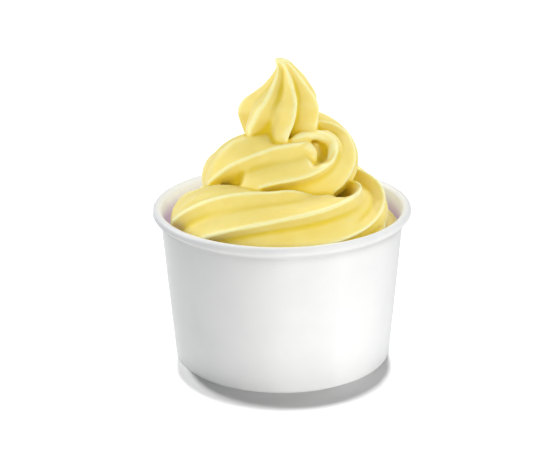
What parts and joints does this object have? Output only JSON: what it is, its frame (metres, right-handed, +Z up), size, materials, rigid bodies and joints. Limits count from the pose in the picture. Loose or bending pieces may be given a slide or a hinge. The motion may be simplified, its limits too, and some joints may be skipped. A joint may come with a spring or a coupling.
{
  "type": "frozen yogurt cup",
  "caption": "Squat round paper cup with a rolled rim, packed with yellow frozen yogurt that rises over it as a ridged soft-serve swirl with a pulled peak.",
  "frame": {"origin": "centre of the cup's foot, on the table", "axes": "+Z up along the cup's axis, -Y towards the viewer of the front of the swirl, +X to that viewer's right"},
  "size_m": [0.096, 0.096, 0.1132],
  "materials": {
    "cup_paper": "white coated board with a soft sheen",
    "cup_base_paper": "white coated board",
    "yogurt": "smooth creamy yellow frozen yogurt with a faint moist sheen"
  },
  "bodies": {
    "root": {"cup_body": "cup_paper", "cup_bottom": "cup_base_paper", "frozen_yogurt": "yogurt"}
  },
  "joints": []
}
